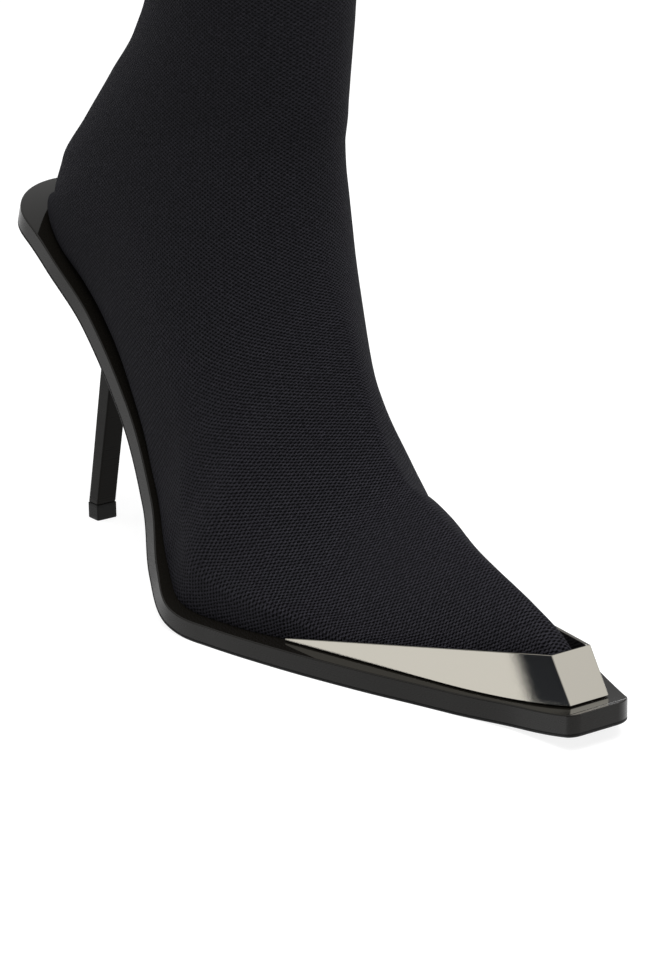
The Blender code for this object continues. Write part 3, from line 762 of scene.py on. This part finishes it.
def knit_coordinates(v, cols):
    """Cloth coordinates in metres, across and along the wales, spread evenly over the surface.

    Two fields whose slopes match the wale direction best, found on a coarse grid of sections.
    """
    last = len(FOOT) + len(LEG) - 1
    rows_c = KNIT_GRID_ROWS
    cols_c = 2 * KNIT_GRID_HALF - 1
    v_c = np.linspace(0.15, last, rows_c)
    grid = upper_points(v_c, KNIT_GRID_HALF)
    normal = grid_normals(grid, v_c >= len(FOOT) - 1 - NEAR)
    along = wale_direction(grid, normal)
    across = np.cross(normal, along)
    index = np.arange(rows_c * cols_c).reshape(rows_c, cols_c)
    matrix = np.zeros((rows_c * cols_c, rows_c * cols_c))
    right = np.zeros((rows_c * cols_c, 2))
    pairs = ((index[:-1], index[1:]), (index[:, :-1], index[:, 1:]))
    flat = grid.reshape(-1, 3)
    fields = (across.reshape(-1, 3), along.reshape(-1, 3))
    for first, second in pairs:
        a = first.ravel()
        b = second.ravel()
        span = flat[b] - flat[a]
        weight = 1 / np.maximum((span ** 2).sum(1), 1e-7)
        np.add.at(matrix, (a, a), weight)
        np.add.at(matrix, (b, b), weight)
        np.add.at(matrix, (a, b), -weight)
        np.add.at(matrix, (b, a), -weight)
        for k, field in enumerate(fields):
            rise = ((field[a] + field[b]) / 2 * span).sum(1) * weight
            np.add.at(right[:, k], b, rise)
            np.add.at(right[:, k], a, -rise)
    matrix[0, 0] += 1e6
    found = np.linalg.solve(matrix, right).reshape(rows_c, cols_c, 2)
    side_c = np.linspace(-1, 1, cols_c)
    side = np.linspace(-1, 1, cols)
    result = np.zeros((len(v), cols, 2))
    for k in range(2):
        rows_done = np.stack([monotone(v_c, found[:, j, k], v) for j in range(cols_c)], 1)
        result[..., k] = np.stack([monotone(side_c, row, side) for row in rows_done])
    return result


def forefoot_fold(grid):
    """Relief of the shallow fold where the forefoot bends, fuller in front of it."""
    along = (grid[..., 0] - grid[..., 2] - FOLD_PLACE) / math.sqrt(2)
    fold = -FOLD_DEPTH * np.exp(-(along / FOLD_WIDTH) ** 2)
    fold += FOLD_SWELL * np.exp(-((along - FOLD_SWELL_PLACE) / FOLD_SWELL_WIDTH) ** 2)
    return fold * np.exp(-((grid[..., 1] - FOLD_MIDDLE) / FOLD_REACH) ** 2)


def build_upper():
    """The knit upper: a thin wall with a turned hem, open at the collar and underneath."""
    last = len(FOOT) + len(LEG) - 1
    closing = len(FOOT) - 1
    leg_step = (LEG[-1][1] - LEG[-2][1]) * HEEL_HEIGHT
    hem_v = last - HEM_HEIGHT * HEM_ROOM / leg_step
    v = np.concatenate([np.linspace(0, closing, UPPER_FOOT_ROWS),
                        np.linspace(closing, hem_v, UPPER_LEG_ROWS)[1:],
                        np.linspace(hem_v, last, HEM_ROWS)[1:]])
    grid = upper_points(v, UPPER_HALF_COLUMNS)
    closed = v >= closing - NEAR
    rows, cols = grid.shape[:2]
    middle = cols // 2
    normal = grid_normals(grid, closed)
    normal[0] = (1, 0, 0)
    cloth = knit_coordinates(v, cols)
    around = cloth[..., 0]
    along = cloth[..., 1]
    # turned hem
    step = np.linalg.norm(np.diff(grid[::-1], axis=0), axis=2)
    from_top = np.concatenate([np.zeros((1, cols)), np.cumsum(step, axis=0)], axis=0)[::-1]
    swell = HEM_SWELL * (1 - ease(from_top, HEM_HEIGHT, HEM_HEIGHT + HEM_STEP))
    below = from_top - HEM_HEIGHT - HEM_GROOVE_BELOW
    groove = -HEM_GROOVE * np.exp(-(below / HEM_GROOVE_WIDTH) ** 2)
    outside = grid + normal * (swell + groove + forefoot_fold(grid))[..., None]
    half_width = np.abs(grid[:, :, 1] - grid[:, middle:middle + 1, 1]).max(1)
    wall = np.minimum(WALL, half_width * 0.5)
    back_off = (WALL - wall)[:, None, None] * np.array([-1.0, 0, 0])
    inside = grid - normal * wall[:, None, None] + back_off
    inside[0] = grid[0] + np.array([-WALL, 0, 0])
    # rim rings at the collar
    rim = []
    lip = (outside[-1] + inside[-1]) / 2
    reach = (outside[-1] - inside[-1]) / 2
    for turn in np.linspace(0, math.pi, RIM_STEPS)[1:-1]:
        ring = lip + reach * math.cos(turn)
        ring[:, 2] += np.linalg.norm(reach, axis=1) * math.sin(turn) * RIM_ROUND
        rim.append(ring)
    sheets = np.concatenate([outside, np.array(rim), inside[::-1]])
    total = len(sheets)
    verts = sheets.reshape(-1, 3)
    faces = []
    slots = []
    uvs = []
    mid_rim = rows + len(rim) // 2
    u_all = np.concatenate([around, np.repeat(around[-1:], len(rim), 0), around[::-1]])
    v_all = np.concatenate([along, np.repeat(along[-1:], len(rim), 0), along[::-1]])
    for i in range(total - 1):
        for j in range(cols - 1):
            a = i * cols + j
            faces.append((a, a + 1, a + cols + 1, a + cols))
            slots.append(0 if i < mid_rim else 1)
            for row, col in ((i, j), (i, j + 1), (i + 1, j + 1), (i + 1, j)):
                uvs.append((u_all[row, col], v_all[row, col]))
    open_rows = int(np.argmax(closed))
    for i in range(open_rows):
        inner_i = total - 1 - i
        for j, flip in ((0, False), (cols - 1, True)):
            face = tuple(row * cols + j for row in (i, i + 1, inner_i - 1, inner_i))
            faces.append(face[::-1] if flip else face)
            slots.append(0)
            uvs += [(u_all[i, j], v_all[i, j])] * 4
    obj = new_object("knit_upper", verts, faces, [knit_material(), lining_material()], slots)
    layer = obj.data.uv_layers.new(name="knit")
    layer.data.foreach_set("uv", np.array(uvs, np.float32).ravel())
    settle(obj, UPPER_WELD)
    return place(obj, "upper_knit", "upper")


def under_slab(x):
    """Height of the slab's underside over a place along the floor."""
    xs, zs = SLAB.at(np.linspace(0, 0.4, 161))
    return float(np.interp(x, xs, zs))


def rounded_ring(half_x, half_y, radius, steps=6):
    """A rectangle with rounded corners, as offsets from its middle."""
    ring = []
    for sx, sy, start in ((1, 1, 0), (-1, 1, 90), (-1, -1, 180), (1, -1, 270)):
        corner = []
        for k in range(steps):
            turn = math.radians(start + 90 * k / (steps - 1))
            corner.append(np.array((sx * (half_x - radius) + radius * math.cos(turn),
                                    sy * (half_y - radius) + radius * math.sin(turn))))
        turn = math.radians(start)
        away = FLAT_KEEP * np.array((math.sin(turn), -math.cos(turn)))
        back = FLAT_KEEP * np.array((-math.cos(turn), -math.sin(turn)))
        ring += [corner[0] + away] + corner + [corner[-1] + back]
    return ring


def stack_faces(levels, count):
    """Faces of a stack of rings with flat ends."""
    faces = []
    for i in range(levels - 1):
        for j in range(count):
            k = (j + 1) % count
            faces.append((i * count + j, i * count + k, (i + 1) * count + k, (i + 1) * count + j))
    faces.append(tuple(range(count))[::-1])
    top = (levels - 1) * count
    faces.append(tuple(top + j for j in range(count)))
    return faces


def build_post():
    """The heel post with softened corners, its top cut to the slab's slope."""
    foot_x = POST_X - SLAB.tread_x
    verts = []
    base = TIP_HEIGHT + TOUCH
    shares = [0, 0, 0] + list(np.linspace(0, 1, POST_LEVELS)[1:]) + [1]
    insets = [POST_BEVEL * 0.6, POST_BEVEL * 0.2, 0] + [0] * POST_LEVELS
    lifts = insets[2::-1] + [0] * POST_LEVELS
    for k, inset, lift in zip(shares, insets, lifts):
        shift = POST_LEAN * float(column(POST, 1, k))
        half = POST_DEPTH * float(column(POST, 2, k)) / 2
        for dx, dy in rounded_ring(half - inset, POST_WIDTH / 2 - inset, POST_BEVEL):
            top = under_slab(foot_x + POST_LEAN + dx) - TOUCH
            z = base + lift + (top - base - lift) * k
            verts.append((foot_x + shift + dx, POST_Y + dy, z))
    faces = stack_faces(len(verts) // RING, RING)
    post = new_object("heel_post", verts, faces, [lacquer_material(*POST_LACQUER)])
    settle(post)
    smooth_by_angle(post)
    return place(post, "heel_post", "heel")


def build_tip():
    """The small rubber piece that stands on the floor."""
    foot_x = POST_X - SLAB.tread_x
    verts = []
    half_x = POST_DEPTH / 2 + TIP_PROUD
    half_y = POST_WIDTH / 2 + TIP_PROUD
    soft = TIP_SOFT
    levels = [(soft, 0.0), (soft * 0.3, soft * 0.3), (0, soft)]
    levels += [(0, z) for z in np.linspace(soft, TIP_HEIGHT - soft, 6)[1:-1]]
    levels += [(0, TIP_HEIGHT - soft), (soft * 0.3, TIP_HEIGHT - soft * 0.3), (soft, TIP_HEIGHT)]
    for inset, z in levels:
        for dx, dy in rounded_ring(half_x - inset, half_y - inset, POST_BEVEL):
            verts.append((foot_x + dx, POST_Y + dy, z))
    tip = new_object("heel_tip_rubber", verts, stack_faces(len(levels), RING), [rubber_material()])
    settle(tip)
    smooth_by_angle(tip)
    return place(tip, "heel_rubber", "heel_tip")


def smooth_by_angle(obj):
    """Smooth shading with sharp edges kept."""
    limit = math.radians(SHARP_ANGLE)
    obj.data.shade_smooth()
    bm = bmesh.new()
    bm.from_mesh(obj.data)
    for e in bm.edges:
        e.smooth = len(e.link_faces) == 2 and e.calc_face_angle(0) < limit
    bm.to_mesh(obj.data)
    bm.free()


def slab_top_height(x):
    """Height of the slab's top over a place along the floor."""
    xs, zs = SLAB.top(np.linspace(0.4, 1.0, 301))
    return float(np.interp(x, xs, zs))


def wing(foot, top, end, count):
    """Columns of a flat wing from its tail to the fold; its lower edge follows the slab."""
    flat = np.cross(foot - end, top - end)
    tail = end + np.array([0, -flat[2] / flat[1], 1]) * WING_END
    columns = []
    for k in np.linspace(0, 1, count):
        x = end[0] + (foot[0] - end[0]) * k
        z = float(slab_top_height(x)) + GAP
        y = end[1] - (flat[0] * (x - end[0]) + flat[2] * (z - end[2])) / flat[1]
        columns.append((np.array([x, y, z]), tail + (top - tail) * k))
    return columns


def build_cap():
    """Folded metal: a front plate and two long flat wings, with softened edges."""
    x = SOLE_LENGTH - SLAB.tread_x - CAP_SETBACK
    foot_z = slab_top_height(x) + GAP
    corners = []
    for way, ledge in ((-1, WING_LEDGE_OUT), (1, WING_LEDGE_IN)):
        y = CAP_SHIFT + way * CAP_HALF
        foot = np.array([x, y, foot_z])
        top = np.array([x - CAP_LEAN, y, foot_z + CAP_HEIGHT])
        end_x, end_z = (float(value) for value in SLAB.top(WING_SHARE, GAP))
        half = float(edge(WING_SHARE)[0 if way < 0 else 1]) - ledge
        corners.append((foot, top, np.array([end_x, way * half, end_z])))
    columns = wing(*corners[0], WING_COLUMNS) + wing(*corners[1], WING_COLUMNS)[::-1]
    verts = [point for pair in columns for point in pair]
    faces = [(2 * k, 2 * k + 2, 2 * k + 3, 2 * k + 1) for k in range(len(columns) - 1)]
    cap = new_object("metal_toe_cap", verts, faces, [metal_material()], smooth=False)
    sheet = cap.modifiers.new("sheet", "SOLIDIFY")
    sheet.thickness = CAP_SHEET
    sheet.offset = -1
    sheet.use_even_offset = True
    apply_modifiers(cap)
    for v in cap.data.vertices:
        v.co.z = max(v.co.z, slab_top_height(v.co.x) + GAP * 0.5)
    settle(cap)
    bevel = cap.modifiers.new("edges", "BEVEL")
    bevel.width = CAP_BEVEL
    bevel.segments = 3
    bevel.limit_method = "ANGLE"
    bevel.angle_limit = math.radians(CAP_BEVEL_ANGLE)
    apply_modifiers(cap)
    # the folded faces stay flat, only the softened edges between them are smooth
    ways = [np.cross(foot - end, top - end) for foot, top, end in corners]
    ways += [np.cross(corners[1][0] - corners[0][0], corners[0][1] - corners[0][0])]
    ways = [Vector(way).normalized() for way in ways]
    nearest = [max(abs(p.normal.dot(way)) for way in ways) for p in cap.data.polygons]
    cap.data.polygons.foreach_set("use_smooth", [value < CAP_FLAT_COSINE for value in nearest])
    return place(cap, "cap_metal", "toe_cap")


def apply_modifiers(obj):
    """Bake an object's modifiers into its mesh."""
    graph = bpy.context.evaluated_depsgraph_get()
    mesh = bpy.data.meshes.new_from_object(obj.evaluated_get(graph))
    obj.modifiers.clear()
    obj.data = mesh


def add_stage():
    """White floor, white surroundings, soft lights and one dark flag for the metal."""
    mat, tree, shader = material("pale_floor", FLOOR_COLOUR, 0.6, specular=0.05)
    set_inputs(shader, {"Emission Color": (1, 1, 1, 1), "Emission Strength": FLOOR_GLOW})
    noise = add_noise(tree, -3, 0, scale=3)
    spread = add_range(tree, -2, 0, noise.outputs["Fac"], FLOOR_ROUGH)
    tree.links.new(spread, shader.inputs["Roughness"])
    verts = [(x * FLOOR_HALF, y * FLOOR_HALF, 0) for x, y in ((-1, -1), (1, -1), (1, 1), (-1, 1))]
    new_object("pale_floor", verts, [(0, 1, 2, 3)], [mat], smooth=False)
    dark = material("dark_flag", FLAG_COLOUR, 0.8, specular=0.1)[0]
    verts = [(x, FLAG_Y, z) for x, z in FLAG]
    flag = new_object("dark_flag", verts, [(0, 1, 2, 3)], [dark], smooth=False)
    # only the polished metal sees it
    flag.visible_camera = False
    flag.visible_diffuse = False
    flag.visible_shadow = False
    world = bpy.data.worlds.new("white_studio")
    world.use_nodes = True
    tree = world.node_tree
    coord = add_node(tree, "ShaderNodeTexCoord", -5, 0)
    split = add_node(tree, "ShaderNodeSeparateXYZ", -4, 0)
    tree.links.new(coord.outputs["Generated"], split.inputs[0])
    sky = add_range(tree, -3, 0, split.outputs[2], SKY, "SMOOTHSTEP")
    tree.links.new(sky, tree.nodes["Background"].inputs["Strength"])
    tree.nodes["Background"].inputs["Color"].default_value = (1, 1, 1, 1)
    bpy.context.scene.world = world
    for light in LIGHTS:
        add_light(*light)


def add_light(name, place_at, size, watts, mirrored):
    """A square softbox, for polished faces or for the others."""
    lamp = bpy.data.lights.new(name, "AREA")
    lamp.size = size
    lamp.energy = watts
    obj = bpy.data.objects.new(name, lamp)
    bpy.context.scene.collection.objects.link(obj)
    obj.location = place_at
    way = Vector(LIGHT_AIM) - Vector(place_at)
    obj.rotation_euler = way.to_track_quat("-Z", "Y").to_euler()
    obj.visible_camera = False
    obj.visible_glossy = mirrored
    obj.visible_diffuse = not mirrored


add_camera()
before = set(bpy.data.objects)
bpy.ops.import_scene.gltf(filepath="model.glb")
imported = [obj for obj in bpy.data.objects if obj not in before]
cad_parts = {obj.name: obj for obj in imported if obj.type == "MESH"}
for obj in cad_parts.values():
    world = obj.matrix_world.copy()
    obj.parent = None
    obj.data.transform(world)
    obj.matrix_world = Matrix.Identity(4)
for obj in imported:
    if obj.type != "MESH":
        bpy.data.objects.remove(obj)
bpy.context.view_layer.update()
SLAB = Slab()
build_slab()
build_footbed()
build_upper()
build_post()
build_tip()
build_cap()
add_stage()
bpy.context.scene.view_settings.view_transform = "Standard"
